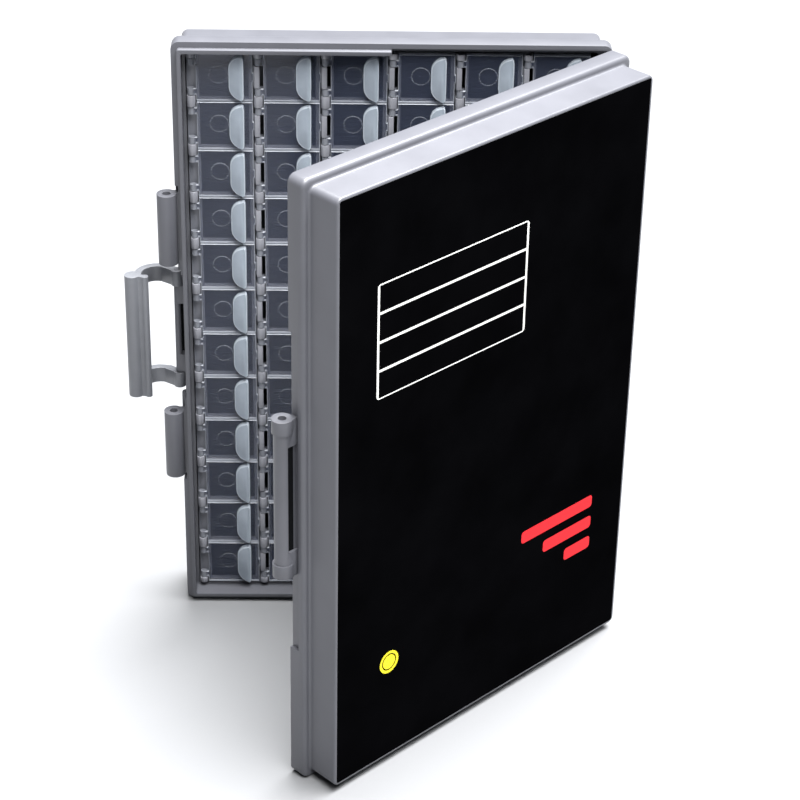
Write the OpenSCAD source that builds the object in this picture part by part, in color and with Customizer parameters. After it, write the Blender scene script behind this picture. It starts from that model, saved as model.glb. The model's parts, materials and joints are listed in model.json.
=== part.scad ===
// Compartment storage case that opens like a book.
// Two equal grey shells stand on their short ends and turn on a steel pin.
// Each shell holds six strips of twelve pockets, and each pocket has a clear lid.
// +Z is up, -Y is the open face, +X is the hinge edge.
// The origin is the middle of the foot under the rear shell's rim band.

/* [Case shells] */
// Width of one shell
case_w = 153; // [140:1:180]
// Height of the case as it stands on its short end
case_h = 232; // [210:1:260]
// Depth of one shell from its rim to its outer face
half_depth = 19.5; // [18.5:0.5:26]
// Depth of the wide band next to the rim
rim_depth = 7; // [6.5:0.1:8]
// Inset of the narrower tier behind the rim band
step_in = 2.7; // [2:0.1:3.2]
// Corner radius of the rim band
rim_corner = 3; // [1:0.1:5]
// Corner radius of the narrower tier
tier_corner = 2.5; // [1:0.1:4]
// Width of the rim face from the outer edge to the cavity
rim_wall = 3.5; // [3.3:0.1:4]
// Wall of the narrower tier along its long sides
side_wall = 1.8; // [1.2:0.1:2.4]
// Wall of the narrower tier at its top and bottom
end_wall = 2.1; // [1.2:0.1:2.6]
// Floor of the shell behind the pocket strips
floor_t = 1.5; // [1:0.1:2]
// Thickness left under the rim where the cavity steps in
inner_step = 1.5; // [1:0.1:1.9]
// Corner radius inside the cavity
cavity_corner = 0.8; // [0.3:0.1:1.5]
// Angle that the front shell stands open
cover_open = 43.5; // [15:0.5:120]

/* [Rim seal] */
// Height of the lip that reaches into the other shell
lip_h = 2.5; // [1:0.1:3]
// Thickness of the lip
lip_t = 1.4; // [1:0.1:1.5]
// Clearance of the lip in its rebate
lip_clear = 0.3; // [0.2:0.05:0.5]

/* [Label] */
// Thickness of the label sheet and of its recess
label_t = 0.5; // [0.3:0.1:0.8]
// Border of bare shell round the label
label_margin = 1.2; // [0.8:0.1:3]
// Clearance of the label in its recess
label_clear = 0.15; // [0.1:0.05:0.3]

/* [Hinge] */
// Distance of the hinge axis from the side of the rim band
knuckle_out = 3; // [2.6:0.1:3.2]
// Radius of the hinge knuckles
knuckle_r = 3.6; // [3.4:0.1:3.8]
// Radius of the thinner middle of the central knuckle
knuckle_waist_r = 3; // [2.4:0.1:3.2]
// Radius of the steel hinge pin
pin_r = 1.45; // [1:0.05:1.6]
// Radial running clearance of the hinge pin
pin_clear = 0.05; // [0.02:0.01:0.1]
// Half length of the central knuckle
central_half = 30.5; // [29:0.5:34]
// Half length of its thinner middle
waist_half = 25.4; // [25:0.2:27]
// Half length of the slot between the central knuckle and the wall
slot_half = 20.5; // [15:0.5:23]
// Height of the slot's floor above the pin's axis
slot_floor = 2; // [1.9:0.1:2.4]
// Reach of the slot past the pin's axis, into the knuckle
slot_in = 0.2; // [0:0.1:0.6]
// Length of each outer knuckle
outer_len = 27.5; // [15:0.5:35]
// Gap between knuckle ends
knuckle_gap = 0.5; // [0.3:0.1:1]
// Room that the rim leaves round the other shell's knuckles
swing_clear = 0.6; // [0.4:0.1:0.8]
// Length of the rim relief past the outer knuckles
relief_past = 3; // [1:0.5:6]

/* [Latch] */
// Distance of the latch pivot outside the side of the rim band
latch_out = 0.9; // [0.6:0.1:1.2]
// Distance of the latch pivot behind the rim plane
latch_pivot_y = 7.6; // [7.2:0.1:8.4]
// Radius of the journals that the latch turns on
journal_r = 1; // [0.7:0.05:1.1]
// Radial running clearance of the journals
journal_clear = 0.05; // [0.02:0.01:0.1]
// Radius of the bracket bar between the journals
bracket_r = 1.2; // [1.1:0.05:1.4]
// Half length of the slot behind the bracket bar
bracket_slot_half = 10.75; // [8:0.25:13]
// Length of each solid end of the bracket
bracket_end = 7.25; // [4:0.25:7.25]
// Depth of the slot behind the bracket bar
bracket_slot_depth = 1; // [0.5:0.1:1.4]
// Thickness of the back of the bracket
bracket_back = 1.2; // [0.8:0.1:1.6]
// Length of the rim notch past each latch arm
notch_past = 1.5; // [0.5:0.1:3]
// Radius of the eyes at the ends of the latch arms
eye_r = 2.2; // [1.9:0.1:2.2]
// Height of each latch arm
arm_h = 6; // [4:0.2:6.4]
// Thickness of the latch arms
arm_t = 2.6; // [2:0.1:3]
// Width of the neck between an eye and its arm
arm_neck = 3.2; // [2.9:0.1:3.6]
// Gap between the bracket and a latch arm
arm_gap = 0.3; // [0.2:0.05:0.5]
// Room between the closed latch arms and the knuckle
arm_room = 1.8; // [0.8:0.1:2.2]
// Room between the hooking ridge and the knuckle
latch_clear = 0.6; // [0.4:0.1:1]
// Radius of the main roll of the latch bar
bar_r = 2.8; // [2.2:0.1:3]
// Distance of the main roll outside the inner side of the arms
bar_out = 0.8; // [0.4:0.1:1.2]
// Radius of the hooking ridge of the latch bar
ridge_r = 1.3; // [0.9:0.1:1.5]
// Width of the web between the main roll and the ridge
ridge_web = 2; // [1.2:0.1:2.2]
// Length of the latch bar past each arm
bar_past = 0.7; // [0.3:0.1:1]
// Angle that the latch stands open
latch_open = 51.5; // [10:0.5:90]

/* [Pocket strips] */
// Height of the strip walls above the shell floor
strip_h = 12.5; // [11.5:0.1:12.8]
// Floor of the pockets
strip_floor = 1.2; // [0.8:0.1:2]
// Wall on the latch side of the pockets
strip_wall = 1.6; // [1:0.1:2]
// Wall between two pockets of a strip
row_wall = 1.4; // [1:0.1:2]
// Wall between the hinge shelf and the pockets
shelf_wall = 1; // [0.6:0.1:1.6]
// Depth of the hinge shelf below the strip walls
shelf_drop = 1.4; // [1.3:0.1:2]
// Gap between neighbouring strips
strip_gap = 0.2; // [0.1:0.05:0.4]
// Clearance of the strips in the shell
bank_clear = 0.3; // [0.15:0.05:0.5]
// Width of the clip posts
post_w = 3.2; // [3:0.1:3.6]
// Height of a clip post along the strip
post_h = 4.2; // [3.6:0.1:4.8]
// Reach of the catch past the edge of its strip
catch_reach = 2.3; // [1.6:0.1:2.5]
// Width of the catch bar
catch_w = 1.8; // [1:0.1:1.8]
// Length of the catch bar
catch_len = 8.2; // [6:0.2:8.8]
// Rise of the catch bar above the strip walls
catch_rise = 1.7; // [1:0.1:1.9]
// Thickness of the bridge that carries the catch bar
catch_t = 1; // [0.6:0.1:1.1]

/* [Lids] */
// Thickness of a lid
lid_t = 1.2; // [0.8:0.1:1.4]
// Gap between a closed lid and the strip walls
lid_seat = 0.3; // [0.2:0.05:0.5]
// Gap between neighbouring lids of a strip
lid_gap = 0.5; // [0.3:0.05:0.8]
// Gap between the end of a lid and the edge of its strip
lid_end_gap = 0.25; // [0.15:0.05:0.5]
// Radius of the lid barrels
barrel_r = 1.25; // [1:0.05:1.35]
// Radius of the stub pins of a lid
stub_r = 0.62; // [0.45:0.01:0.7]
// Radial running clearance of the stub pins
stub_clear = 0.08; // [0.03:0.01:0.1]
// Depth of a stub pin in its clip post
stub_in = 1.2; // [0.6:0.1:1.6]
// Gap between a lid and the clip posts
ear_gap = 0.3; // [0.2:0.05:0.5]
// Width of the tongue on the free end of a lid
tongue_w = 3.2; // [2:0.1:6]
// Reach of the tongue past the lid
tongue_reach = 0.45; // [0.2:0.05:0.5]
// Length of the half-round pull tab
tab_len = 16.4; // [10:0.2:17]
// Width of the pull tab
tab_w = 5.4; // [3:0.1:7]
// Rise of the pull tab at its straight edge
tab_rise = 2.4; // [1:0.1:3]
// Flat flange of the lid beyond the pull tab
tab_flange = 2.9; // [2:0.1:4]

/* [Hidden] */
$fn = 64;
columns = 6;
rows = 12;
// Overlap that joins two shapes of one piece, and length of an open-ended cut
weld = 0.5;
reach = 40;

rim_y = -rim_depth / 2;
mid_z = case_h / 2;
tier_w = case_w - 2 * step_in;
tier_h = case_h - 2 * step_in;
cavity_w = tier_w - 2 * side_wall;
cavity_h = tier_h - 2 * end_wall;
floor_y = half_depth - label_t - floor_t;
label_w = tier_w - 2 * label_margin;
label_h = tier_h - 2 * label_margin;
hinge_x = case_w / 2 + knuckle_out;

lip_inset = rim_wall - lip_t;
lip_corner = max(cavity_corner, rim_corner - lip_inset);
rebate_inset = lip_inset - lip_clear;
relief_in = knuckle_r + swing_clear - knuckle_out;
relief_depth = knuckle_r + swing_clear;
outer_start = central_half + knuckle_gap;
outer_end = outer_start + outer_len;
relief_half = outer_end + relief_past;

latch_x = -case_w / 2 - latch_out;
bracket_half = bracket_slot_half + bracket_end;
arm_start = bracket_half + arm_gap;
arm_end = arm_start + arm_h;
bar_half = arm_end + bar_past;
notch_half = arm_end + notch_past;
arm_in_r = knuckle_r + arm_room;
arm_mid_r = arm_in_r + arm_t / 2;
// Angles round the closed knuckle, from straight outwards: arm ends, bar and ridge
arm_rear_angle = 65;
arm_front_angle = -75;
bar_angle = -69;
ridge_angle = -97;
arm_root = [cos(arm_rear_angle), sin(arm_rear_angle)] * arm_mid_r;
bar_at = [cos(bar_angle), sin(bar_angle)] * (arm_in_r + bar_r + bar_out);
ridge_at = [cos(ridge_angle), sin(ridge_angle)] * (knuckle_r + latch_clear + ridge_r);

strip_top = floor_y - strip_h;
strip_pitch = (cavity_w - 2 * bank_clear - catch_reach + strip_gap) / columns;
strip_w = strip_pitch - strip_gap;
row_pitch = (cavity_h - 2 * bank_clear) / rows;
bank_h = rows * row_pitch;
bank_x = -cavity_w / 2 + bank_clear;
bank_z = (case_h - bank_h) / 2;
shelf_w = post_w + weld / 2;
shelf_y = strip_top + shelf_drop;

lid_x = post_w / 2;
lid_top = strip_top - lid_seat - lid_t;
lid_y = lid_top + barrel_r - ear_gap;
lid_start = post_w + ear_gap;
barrel_len = (row_pitch - post_h - catch_len) / 2 - 2 * ear_gap;
lid_end = strip_w - lid_end_gap;
tab_edge = lid_end - tab_flange;
tab_round_r = (tab_len * tab_len / 4 + tab_w * tab_w) / (2 * tab_w);

shell_grey = "#8b8d93";
strip_grey = "#4d5563";
lid_clear_tint = [0.78, 0.84, 0.88, 0.45];
label_black = "#17181b";
steel = "#b9bcc0";
latch_grey = "#6d6f75";

// Rear column 1 has a node for every lid; the other columns have one node of twelve lids.
single_lids = [for (r = [1:rows]) str("rear_lid_", r)];
rear_lid_sets = [for (c = [2:columns]) str("rear_lids_column_", c)];
front_lid_sets = [for (c = [1:columns]) str("front_lids_column_", c)];
rear_strips = [for (c = [1:columns]) str("rear_strip_", c)];
front_strips = [for (c = [1:columns]) str("front_strip_", c)];

// Half frame: x across, y from the rim plane into the shell, z up.
module rear_place() {
    translate([0, rim_y, 0]) children();
}

module front_place() {
    translate([hinge_x, rim_y, 0])
        rotate([0, 0, cover_open])
            translate([-hinge_x, 0, 0])
                rotate([0, 0, 180])
                    children();
}

// The front strips stand turned end for end, so both sets of lids hinge at the free edges.
module end_for_end() {
    translate([0, 0, case_h]) rotate([0, 180, 0]) children();
}

module rounded(w, h, r) {
    square([w - 2 * r, h], center = true);
    square([w, h - 2 * r], center = true);
    for (sx = [-1, 1], sz = [-1, 1])
        translate([sx * (w / 2 - r), sz * (h / 2 - r)]) circle(r);
}

module slab(w, h, r, y0, y1) {
    translate([0, y1, mid_z])
        rotate([90, 0, 0])
            linear_extrude(y1 - y0)
                rounded(w, h, r);
}

module box(x0, x1, y0, y1, z0, z1) {
    translate([x0, y0, z0]) cube([x1 - x0, y1 - y0, z1 - z0]);
}

module rod(x, y, r, z0, z1) {
    translate([x, y, z0]) cylinder(r = r, h = z1 - z0);
}

// Shell of one half, the same moulding front and rear.
module rim_reliefs() {
    for (side = [-1, 1])
        box(side * case_w / 2 - relief_in, side * case_w / 2 + relief_in,
            -reach, relief_depth, mid_z - relief_half, mid_z + relief_half);
    box(-case_w, rebate_inset - case_w / 2, -reach, reach, mid_z - notch_half, mid_z + notch_half);
}

module lip() {
    lip_w = case_w - 2 * lip_inset;
    difference() {
        slab(lip_w, case_h - 2 * lip_inset, lip_corner, -lip_h, weld);
        box(-lip_clear, case_w, -reach, reach, 0, case_h);
    }
}

module rebate() {
    intersection() {
        slab(case_w - 2 * rebate_inset, case_h - 2 * rebate_inset, lip_corner,
             -reach, lip_h + lip_clear);
        box(0, case_w, -reach, reach, 0, case_h);
    }
}

module cavity() {
    slab(case_w - 2 * rim_wall, case_h - 2 * rim_wall, cavity_corner,
         -reach, rim_depth - inner_step);
    slab(cavity_w, cavity_h, cavity_corner, 0, floor_y);
}

module knuckle_web(side, z0, z1, top = knuckle_waist_r) {
    root = case_w / 2 - relief_in - weld;
    x0 = side > 0 ? root : -hinge_x;
    x1 = side > 0 ? hinge_x : -root;
    box(x0, x1, knuckle_gap, top, z0, z1);
}

module outer_knuckles() {
    for (end = [-1, 1]) {
        low = end > 0 ? outer_start : -outer_end;
        z0 = mid_z + low;
        difference() {
            union() {
                rod(-hinge_x, 0, knuckle_r, z0, z0 + outer_len);
                knuckle_web(-1, z0, z0 + outer_len);
            }
            rod(-hinge_x, 0, pin_r + pin_clear, z0 - weld, z0 + outer_len + weld);
        }
    }
}

module central_knuckle() {
    difference() {
        union() {
            difference() {
                rod(hinge_x, 0, knuckle_waist_r, mid_z - central_half, mid_z + central_half);
                box(case_w / 2 - relief_in, hinge_x + slot_in, slot_floor, reach,
                    mid_z - slot_half, mid_z + slot_half);
            }
            knuckle_web(1, mid_z - slot_half - weld, mid_z + slot_half + weld, slot_floor);
            for (end = [-1, 1]) {
                cap = end > 0 ? waist_half : -central_half;
                foot = end > 0 ? slot_half : -central_half;
                rod(hinge_x, 0, knuckle_r, mid_z + cap, mid_z + cap + central_half - waist_half);
                knuckle_web(1, mid_z + foot, mid_z + foot + central_half - slot_half);
            }
        }
        rod(hinge_x, 0, pin_r, mid_z - central_half - weld, mid_z + central_half + weld);
    }
}

// Bracket on the narrower tier: a bar with journals at its ends, a slot behind it and a back.
module latch_bracket() {
    wall_x = step_in + weld - case_w / 2;
    slot_y = latch_pivot_y + bracket_r + bracket_slot_depth;
    rod(latch_x, latch_pivot_y, journal_r, mid_z - arm_end, mid_z + arm_end);
    rod(latch_x, latch_pivot_y, bracket_r, mid_z - bracket_half, mid_z + bracket_half);
    box(latch_x - bracket_r, wall_x, slot_y, slot_y + bracket_back,
        mid_z - bracket_half, mid_z + bracket_half);
    for (low = [-bracket_half, bracket_slot_half]) {
        z0 = mid_z + low;
        box(latch_x - bracket_r, wall_x, latch_pivot_y, slot_y + bracket_back, z0, z0 + bracket_end);
        box(latch_x, wall_x, latch_pivot_y - bracket_r, slot_y, z0, z0 + bracket_end);
    }
}

module half_shell() {
    difference() {
        union() {
            difference() {
                slab(case_w, case_h, rim_corner, 0, rim_depth);
                rim_reliefs();
            }
            slab(tier_w, tier_h, tier_corner, rim_depth - weld, half_depth);
            lip();
        }
        cavity();
        rebate();
        slab(label_w + 2 * label_clear, label_h + 2 * label_clear, cavity_corner,
             half_depth - label_t, half_depth + weld);
    }
    outer_knuckles();
    central_knuckle();
    latch_bracket();
}

module rear_shell() {
    color(shell_grey) rear_place() half_shell();
}

module front_shell() {
    color(shell_grey) front_place() half_shell();
}

module front_label() {
    color(label_black)
        front_place()
            slab(label_w, label_h, cavity_corner, half_depth - label_t, half_depth);
}

module hinge_pin() {
    color(steel)
        rear_place()
            rod(hinge_x, 0, pin_r, mid_z - outer_end, mid_z + outer_end);
}

// Latch: two arms curl round the closed knuckle and carry a finger bar with a hooking ridge.
// Plans of the closed latch, measured from the knuckle axis, first value outwards.
module link_plan(from, to, w, past) {
    run = to - from;
    translate(from)
        rotate(atan2(run[1], run[0]))
            translate([0, -w / 2])
                square([norm(run) + past, w]);
}

module arm_plan() {
    eye = [latch_out - knuckle_out, latch_pivot_y];
    difference() {
        union() {
            translate(eye) circle(eye_r);
            link_plan(eye, arm_root, arm_neck, weld);
            intersection() {
                difference() {
                    circle(arm_in_r + arm_t);
                    circle(arm_in_r);
                }
                polygon([
                    [0, 0],
                    [cos(arm_front_angle), sin(arm_front_angle)] * reach,
                    [reach, 0],
                    [cos(arm_rear_angle), sin(arm_rear_angle)] * reach
                ]);
            }
        }
        translate(eye) circle(journal_r + journal_clear);
    }
}

module bar_plan() {
    translate(bar_at) circle(bar_r);
    translate(ridge_at) circle(ridge_r);
    link_plan(ridge_at, bar_at, ridge_web, 0);
}

module latch_closed() {
    translate([-hinge_x, 0, mid_z]) mirror([1, 0, 0]) {
        for (low = [-arm_end, arm_start])
            translate([0, 0, low]) linear_extrude(arm_h) arm_plan();
        translate([0, 0, -bar_half]) linear_extrude(2 * bar_half) bar_plan();
    }
}

module latch_handle() {
    color(latch_grey)
        rear_place()
            translate([latch_x, latch_pivot_y, 0])
                rotate([0, 0, -latch_open])
                    translate([-latch_x, -latch_pivot_y, 0])
                        latch_closed();
}

// One strip of twelve pockets with its clip posts and catches.
module strip_posts() {
    for (r = [0:rows]) {
        low = max(0, r * row_pitch - post_h / 2);
        high = min(bank_h, r * row_pitch + post_h / 2);
        rod(lid_x, lid_y, post_w / 2, low, high);
        box(0, post_w, lid_y, shelf_y + weld, low, high);
    }
}

module strip_catches() {
    bar_x = strip_w + catch_reach;
    for (r = [0:rows - 1]) {
        low = (r + 0.5) * row_pitch - catch_len / 2;
        box(strip_w - weld, bar_x, strip_top, strip_top + catch_t, low, low + catch_len);
        box(bar_x - catch_w, bar_x, strip_top - catch_rise, strip_top + catch_t, low, low + catch_len);
    }
}

module strip_pockets() {
    for (r = [0:rows - 1])
        box(shelf_w + shelf_wall, strip_w - strip_wall, -reach, floor_y - strip_floor,
            r * row_pitch + row_wall / 2, (r + 1) * row_pitch - row_wall / 2);
}

module strip() {
    difference() {
        union() {
            difference() {
                box(0, strip_w, strip_top, floor_y, 0, bank_h);
                box(-weld, shelf_w, -reach, shelf_y, -weld, bank_h + weld);
            }
            strip_posts();
            strip_catches();
        }
        strip_pockets();
        rod(lid_x, lid_y, stub_r + stub_clear, -weld, bank_h + weld);
    }
}

// One clear lid with its two barrels, stub pins and half-round pull tab.
module lid_ear(root_z, way) {
    face = root_z + way * (post_h / 2 + ear_gap);
    tip = root_z + way * (post_h / 2 - stub_in);
    back = face + way * barrel_len;
    rod(lid_x, lid_y, barrel_r, min(face, back), max(face, back));
    rod(lid_x, lid_y, stub_r, min(tip, back), max(tip, back));
    box(lid_x, lid_start + weld, lid_top, lid_top + lid_t, min(face, back), max(face, back));
}

module pull_tab(middle_z) {
    intersection() {
        translate([tab_edge - tab_w + tab_round_r, lid_top + weld, middle_z])
            rotate([90, 0, 0])
                cylinder(r = tab_round_r, h = tab_rise + weld);
        translate([0, 0, middle_z - tab_len / 2])
            linear_extrude(tab_len)
                polygon([
                    [tab_edge - tab_w, lid_top + weld],
                    [tab_edge - tab_w, lid_top],
                    [tab_edge, lid_top - tab_rise],
                    [tab_edge, lid_top + weld]
                ]);
    }
}

module lid(r) {
    low = r * row_pitch;
    high = low + row_pitch;
    middle = (low + high) / 2;
    box(lid_start, lid_end, lid_top, lid_top + lid_t, low + lid_gap / 2, high - lid_gap / 2);
    box(lid_end - weld, lid_end + tongue_reach, lid_top, lid_top + lid_t,
        middle - tongue_w / 2, middle + tongue_w / 2);
    lid_ear(low, 1);
    lid_ear(high, -1);
    pull_tab(middle);
}

module rear_column(c) {
    rear_place() translate([bank_x + (c - 1) * strip_pitch, 0, bank_z]) children();
}

module front_column(c) {
    front_place() end_for_end() translate([bank_x + (c - 1) * strip_pitch, 0, bank_z]) children();
}

module lid_set() {
    color(lid_clear_tint) for (r = [0:rows - 1]) lid(r);
}

rear_shell();
front_shell();
front_label();
hinge_pin();
latch_handle();
for (c = [1:columns]) {
    rear_column(c) color(strip_grey) strip();
    front_column(c) color(strip_grey) strip();
    front_column(c) lid_set();
}
for (c = [2:columns])
    rear_column(c) lid_set();
// Lids of rear column 1 are counted from the top.
for (r = [1:rows])
    rear_column(1) color(lid_clear_tint) lid(rows - r);
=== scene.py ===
import json
import math

import bmesh
import bpy
from mathutils import Matrix, Vector


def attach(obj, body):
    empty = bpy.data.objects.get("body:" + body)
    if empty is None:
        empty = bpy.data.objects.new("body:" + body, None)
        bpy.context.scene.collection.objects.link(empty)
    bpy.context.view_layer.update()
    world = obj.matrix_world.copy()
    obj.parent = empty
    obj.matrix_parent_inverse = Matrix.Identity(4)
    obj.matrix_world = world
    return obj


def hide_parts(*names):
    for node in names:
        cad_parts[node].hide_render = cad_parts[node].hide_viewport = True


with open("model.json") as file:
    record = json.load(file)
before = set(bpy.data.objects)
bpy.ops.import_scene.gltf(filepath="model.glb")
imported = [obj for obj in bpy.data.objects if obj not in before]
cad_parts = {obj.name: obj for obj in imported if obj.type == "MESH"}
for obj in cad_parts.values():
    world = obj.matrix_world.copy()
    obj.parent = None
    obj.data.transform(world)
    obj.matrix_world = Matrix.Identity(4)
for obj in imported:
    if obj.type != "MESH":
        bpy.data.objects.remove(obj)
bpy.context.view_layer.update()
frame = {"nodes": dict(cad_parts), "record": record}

bl_info = {
    "name": "Compartment storage case",
    "version": (1, 0, 0),
    "blender": (4, 5, 0),
    "location": "View3D > Sidebar > Storage Case",
    "description": "Dresses a book-like parts case with clear-lidded pockets",
    "category": "Object",
}

MM = 0.001
COLUMNS = 6
ROWS = 12
SINGLE_LIDS = [f"rear_lid_{row}" for row in range(1, ROWS + 1)]
REAR_LID_SETS = [f"rear_lids_column_{c}" for c in range(2, COLUMNS + 1)]
FRONT_LID_SETS = [f"front_lids_column_{c}" for c in range(1, COLUMNS + 1)]
SAME = 0.05 * MM  # two places closer than this are one place
SHARP = math.radians(40)  # an edge that turns by more than this is sharp
FACING = 0.9  # a face looks a way when its normal has more than this of that way
FULL_FRAME = 36.0  # width in millimetres of the sensor that the lens is given for


def joint_place(name):
    """Where a joint of the frame turns, in metres."""
    for joint in frame["record"]["behaviour"]["joints"]:
        if joint["name"] == name:
            return Vector(joint["pos_m"])
    raise ValueError(f"no joint {name}")


# Spacing of the lids up a strip, read from the joints that carry them
ROW_PITCH = joint_place("rear_lid_1_hinge").z - joint_place("rear_lid_2_hinge").z


class CaseSizes(bpy.types.PropertyGroup):
    """Sizes of the moulded edges and of one lid."""

    shell_edge: bpy.props.FloatProperty(
        name="Shell edge", description="Radius of the shells' moulded edges",
        default=0.55 * MM, unit="LENGTH")
    rim_depth: bpy.props.FloatProperty(
        name="Rim depth", description="Depth of the wide band next to a shell's rim",
        default=7.0 * MM, unit="LENGTH")
    step_round: bpy.props.FloatProperty(
        name="Step round", description="Radius of the rim band's outer edge at the step",
        default=1.5 * MM, unit="LENGTH")
    step_fillet: bpy.props.FloatProperty(
        name="Step fillet", description="Radius in the corner of the step",
        default=1.15 * MM, unit="LENGTH")
    face_round: bpy.props.FloatProperty(
        name="Face round", description="Radius round a shell's outer face",
        default=0.75 * MM, unit="LENGTH")
    notch_half: bpy.props.FloatProperty(
        name="Notch", description="Half length of the rim's notch for the latch",
        default=26.0 * MM, unit="LENGTH")
    notch_reach: bpy.props.FloatProperty(
        name="Notch reach", description="Distance round the edge's axis that counts as the notch",
        default=20.0 * MM, unit="LENGTH")
    bracket_floor: bpy.props.FloatProperty(
        name="Bracket floor", description="Depth of the slot behind the latch bracket below the rim",
        default=9.8 * MM, unit="LENGTH")
    bracket_width: bpy.props.FloatProperty(
        name="Bracket width", description="Width of the slot behind the latch bracket, from its edge's axis",
        default=8.0 * MM, unit="LENGTH")
    slot_half: bpy.props.FloatProperty(
        name="Slot half", description="Half length of the slot beside the central knuckle",
        default=20.5 * MM, unit="LENGTH")
    slot_width: bpy.props.FloatProperty(
        name="Slot width", description="Reach of that slot's dark floor from the knuckle's axis",
        default=2.9 * MM, unit="LENGTH")
    slot_floor: bpy.props.FloatProperty(
        name="Slot floor", description="Depth of that slot's floor below the rim",
        default=2.0 * MM, unit="LENGTH")
    slot_lap: bpy.props.FloatProperty(
        name="Slot lap", description="Reach of that slot's dark floor past the knuckle's axis",
        default=0.3 * MM, unit="LENGTH")
    slot_band: bpy.props.FloatProperty(
        name="Slot band", description="Height of the rounded corners that belong to that floor",
        default=0.6 * MM, unit="LENGTH")
    strip_edge: bpy.props.FloatProperty(
        name="Strip edge", description="Radius of the pocket strips' edges",
        default=0.14 * MM, unit="LENGTH")
    strip_depth: bpy.props.FloatProperty(
        name="Strip depth", description="Depth of the strips' tops below the rim",
        default=5.0 * MM, unit="LENGTH")
    shelf_drop: bpy.props.FloatProperty(
        name="Shelf drop", description="Depth of the hinge shelf below the lids' hinge axis",
        default=1.95 * MM, unit="LENGTH")
    slot_near: bpy.props.FloatProperty(
        name="Slot start", description="Near side of a shelf's slot, from the lids' hinge axis",
        default=0.55 * MM, unit="LENGTH")
    slot_far: bpy.props.FloatProperty(
        name="Slot end", description="Far side of a shelf's slot, from the lids' hinge axis",
        default=1.75 * MM, unit="LENGTH")
    slot_drop: bpy.props.FloatProperty(
        name="Slot drop", description="Depth of a shelf's slot",
        default=3.0 * MM, unit="LENGTH")
    catch_half: bpy.props.FloatProperty(
        name="Catch half", description="Half length of the slot beside a catch",
        default=4.3 * MM, unit="LENGTH")
    latch_edge: bpy.props.FloatProperty(
        name="Latch edge", description="Radius of the latch's edges",
        default=0.45 * MM, unit="LENGTH")
    cover_open: bpy.props.FloatProperty(
        name="Cover angle", description="Angle that the front shell stands open at rest",
        default=math.radians(43.5), subtype="ANGLE")
    lid_length: bpy.props.FloatProperty(
        name="Lid length", description="Length of a lid's plate from its hinge side to its free end",
        default=19.6 * MM, unit="LENGTH")
    lid_thickness: bpy.props.FloatProperty(
        name="Lid thickness", description="Thickness of a lid's plate",
        default=1.2 * MM, unit="LENGTH")
    lid_gap: bpy.props.FloatProperty(
        name="Lid gap", description="Gap between two lids of a strip",
        default=0.5 * MM, unit="LENGTH")
    lid_edge: bpy.props.FloatProperty(
        name="Lid edge", description="Width of the chamfer round a lid",
        default=0.16 * MM, unit="LENGTH")
    hinge_reach: bpy.props.FloatProperty(
        name="Hinge reach", description="Distance of the lid's plate from its hinge axis",
        default=1.9 * MM, unit="LENGTH")
    hinge_depth: bpy.props.FloatProperty(
        name="Hinge depth", description="Depth of the hinge axis below the lid's outer face",
        default=0.95 * MM, unit="LENGTH")
    barrel_radius: bpy.props.FloatProperty(
        name="Barrel radius", description="Radius of the barrels that a lid turns on",
        default=1.25 * MM, unit="LENGTH")
    barrel_length: bpy.props.FloatProperty(
        name="Barrel length", description="Length of a barrel",
        default=2.44 * MM, unit="LENGTH")
    barrel_start: bpy.props.FloatProperty(
        name="Barrel start", description="Distance of a barrel from the middle of its clip post",
        default=2.4 * MM, unit="LENGTH")
    stub_radius: bpy.props.FloatProperty(
        name="Stub radius", description="Radius of the stub pins in the clip posts",
        default=0.62 * MM, unit="LENGTH")
    stub_length: bpy.props.FloatProperty(
        name="Stub length", description="Length of a stub pin past its barrel",
        default=1.5 * MM, unit="LENGTH")
    tongue_width: bpy.props.FloatProperty(
        name="Tongue width", description="Width of the tongue on a lid's free end",
        default=3.2 * MM, unit="LENGTH")
    tongue_reach: bpy.props.FloatProperty(
        name="Tongue reach", description="Length of the tongue past the plate",
        default=0.45 * MM, unit="LENGTH")
    tab_length: bpy.props.FloatProperty(
        name="Tab length", description="Length of the half-round pull tab",
        default=16.4 * MM, unit="LENGTH")
    tab_width: bpy.props.FloatProperty(
        name="Tab width", description="Width of the pull tab",
        default=5.4 * MM, unit="LENGTH")
    tab_rise: bpy.props.FloatProperty(
        name="Tab rise", description="Rise of the pull tab above the plate",
        default=2.35 * MM, unit="LENGTH")
    tab_flange: bpy.props.FloatProperty(
        name="Tab flange", description="Plate beyond the pull tab",
        default=2.9 * MM, unit="LENGTH")
    tab_toe: bpy.props.FloatProperty(
        name="Tab toe", description="Rise of the pull tab where it starts from the plate",
        default=0.5 * MM, unit="LENGTH")
    tab_round: bpy.props.FloatProperty(
        name="Tab round", description="Radius of the tab's rounded side",
        default=4.7 * MM, unit="LENGTH")
    tab_corner: bpy.props.FloatProperty(
        name="Tab corner", description="Radius of the corners at the tab's grip edge",
        default=1.5 * MM, unit="LENGTH")
    tab_crest: bpy.props.FloatProperty(
        name="Tab crest", description="Radius round the top of the tab",
        default=0.45 * MM, unit="LENGTH")
    hinge_to_middle: bpy.props.FloatProperty(
        name="Hinge to middle", description="Distance from the hinge axis to the middle of a shell",
        default=79.5 * MM, unit="LENGTH")
    half_depth: bpy.props.FloatProperty(
        name="Half depth", description="Depth of a shell from its rim to its outer face",
        default=19.5 * MM, unit="LENGTH")
    gate_radius: bpy.props.FloatProperty(
        name="Gate mark", description="Radius of the moulded ring on a lid",
        default=3.2 * MM, unit="LENGTH")
    gate_place: bpy.props.FloatProperty(
        name="Gate place", description="Distance of the ring from the hinge axis",
        default=9.7 * MM, unit="LENGTH")
    gate_rise: bpy.props.FloatProperty(
        name="Gate rise", description="Height of the ring above the middle of the lid",
        default=1.0 * MM, unit="LENGTH")
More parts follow.
